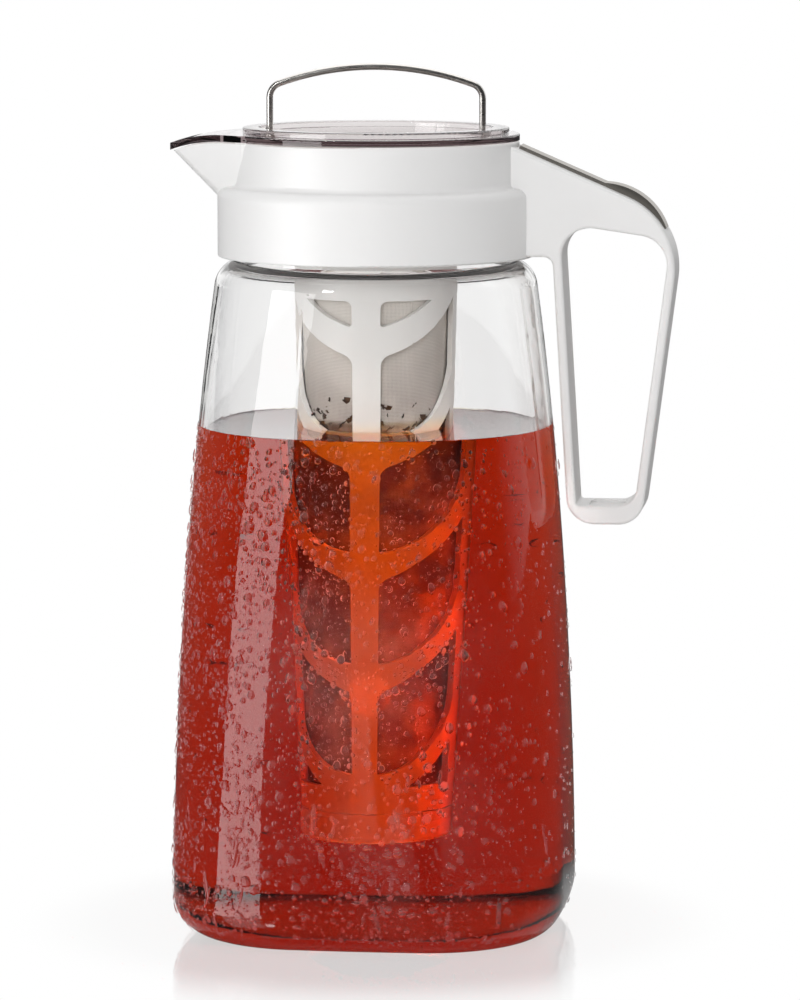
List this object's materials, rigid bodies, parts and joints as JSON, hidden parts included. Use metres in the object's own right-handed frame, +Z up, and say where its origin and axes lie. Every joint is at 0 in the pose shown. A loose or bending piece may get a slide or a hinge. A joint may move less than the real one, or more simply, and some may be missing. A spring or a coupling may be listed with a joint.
{
  "type": "iced tea maker",
  "caption": "Clear squarish pitcher with a white spouted collar and loop handle, a lift-off tinted lid with a wire bail, and a leaf-ribbed mesh infuser hung inside.",
  "frame": {"origin": "centre of the flat face that the jug stands on, on the jug's axis", "axes": "+Z up along the jug's axis, -X towards the spout, +X towards the handle, -Y towards the viewer of the picture"},
  "size_m": [0.1543, 0.12, 0.2629],
  "materials": {
    "clear_plastic": "clear",
    "white_plastic": "moulded, soft gloss",
    "tinted_plastic": "smoke tint, clear",
    "stainless": "satin",
    "silicone": "matt, translucent",
    "nylon_mesh": "fine woven mesh"
  },
  "bodies": {
    "jug": {"jug": "clear_plastic"},
    "gasket": {"neck_gasket": "silicone"},
    "collar": {"collar": "white_plastic", "thumb_strip": "stainless"},
    "lid": {"lid": "tinted_plastic", "lid_gasket": "silicone"},
    "bail": {"bail_handle": "stainless"},
    "infuser": {"infuser_frame": "white_plastic", "filter_mesh": "nylon_mesh"},
    "infuser_base": {"infuser_base": "white_plastic"}
  },
  "joints": [
    {"name": "collar_rise", "type": "slide", "parent": "jug", "child": "gasket", "axis": [0, 0, 1], "range_m": [0, 0.003]},
    {"name": "collar_turn", "type": "hinge", "parent": "gasket", "child": "collar", "pos_m": [0, 0, 0.2048], "axis": [0, 0, 1], "range_deg": [0, 90]},
    {"name": "lid_lift", "type": "slide", "parent": "collar", "child": "lid", "axis": [0, 0, 1], "range_m": [0, 0.215]},
    {"name": "bail_fold", "type": "hinge", "parent": "lid", "child": "bail", "pos_m": [0, 0, 0.2422], "axis": [1, 0, 0], "range_deg": [-78, 78]},
    {"name": "infuser_twist", "type": "hinge", "parent": "lid", "child": "infuser", "pos_m": [0, 0, 0.229], "axis": [0, 0, 1], "range_deg": [0, 60]},
    {"name": "base_pull", "type": "slide", "parent": "infuser", "child": "infuser_base", "axis": [0, 0, -1], "range_m": [0, 0.02]}
  ],
  "couplings": [
    {"joint": "collar_rise", "follows": "collar_turn", "m_per_rad": 0.0019}
  ]
}
